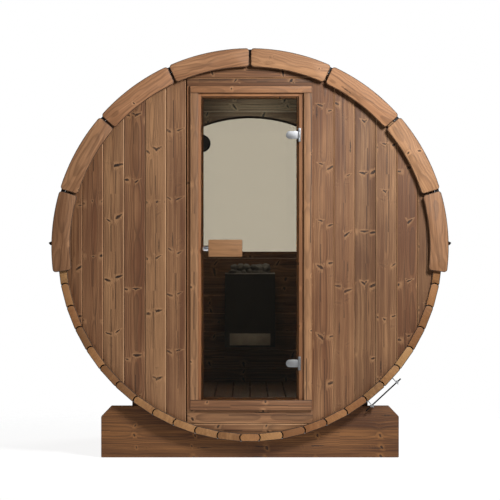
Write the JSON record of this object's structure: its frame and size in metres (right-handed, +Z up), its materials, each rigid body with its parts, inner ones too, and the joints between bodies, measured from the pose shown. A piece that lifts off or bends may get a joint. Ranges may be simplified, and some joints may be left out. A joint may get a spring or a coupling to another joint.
{
  "type": "barrel sauna",
  "caption": "Outdoor sauna shaped as a lying wooden barrel on a cradle, with a hinged glass door in front, a half-round rear window and a heater inside.",
  "frame": {"origin": "on the ground, under the middle of the barrel", "axes": "+Z up, +Y from the door to the rear wall along the barrel, +X to the right of a person who faces the door"},
  "size_m": [2.0906, 1.844, 2.1318],
  "materials": {
    "cradle_wood": "planed heat-treated pine, matte",
    "stave_wood": "planed heat-treated pine, matte",
    "wall_wood": "tongue-and-groove heat-treated pine with knots, matte",
    "trim_wood": "planed softwood with rounded corners, matte",
    "door_wood": "planed heat-treated pine, matte",
    "inside_wood": "planed softwood, matte",
    "tinted_glass": "bronze-tinted toughened glass",
    "window_glass": "lightly tinted toughened glass",
    "band_steel": "stainless strap and threaded rod",
    "hinge_steel": "satin",
    "catch_chrome": "polished",
    "roof_felt": "black mineral felt, rough",
    "vent_black": "black rim with woven mesh",
    "heater_black": "fine-textured black",
    "heater_satin": "satin plate",
    "heater_stone": "rough dark rock"
  },
  "bodies": {
    "cabin": {"cradle_front": "cradle_wood", "cradle_rear": "cradle_wood", "cradle_bearer_left": "cradle_wood", "cradle_bearer_right": "cradle_wood", "staves_keel": "stave_wood", "staves_belly_left": "stave_wood", "staves_belly_right": "stave_wood", "staves_side_left": "stave_wood", "staves_side_right": "stave_wood", "staves_shoulder_left": "stave_wood", "staves_shoulder_right": "stave_wood", "staves_crown": "stave_wood", "front_wall_left": "wall_wood", "front_wall_right": "wall_wood", "front_wall_head": "wall_wood", "front_wall_foot": "wall_wood", "rear_wall_left": "wall_wood", "rear_wall_right": "wall_wood", "rear_wall_crown": "wall_wood", "rear_wall_lower": "wall_wood", "rear_window_beads": "door_wood", "rear_window_pane": "window_glass", "rear_vent": "vent_black", "front_trim_ring": "trim_wood", "rear_trim_ring": "trim_wood", "roof_felt": "roof_felt", "drip_edges": "roof_felt", "band_front": "band_steel", "band_rear": "band_steel", "tension_rod_front": "band_steel", "tension_rod_rear": "band_steel", "door_posts": "door_wood", "door_casing": "door_wood", "door_stops": "door_wood", "hinge_plates": "hinge_steel", "floor_slats": "inside_wood", "floor_joists": "inside_wood", "heater_housing": "heater_black", "heater_stones": "heater_stone", "heater_panel": "heater_satin"},
    "door": {"door_glass": "tinted_glass", "door_handle": "door_wood", "door_clamps": "hinge_steel", "door_catch": "catch_chrome"}
  },
  "joints": [
    {"name": "door_hinge", "type": "hinge", "parent": "cabin", "child": "door", "pos_m": [0.255, -0.8843, 1.09], "axis": [0, 0, 1], "range_deg": [0, 110]}
  ]
}
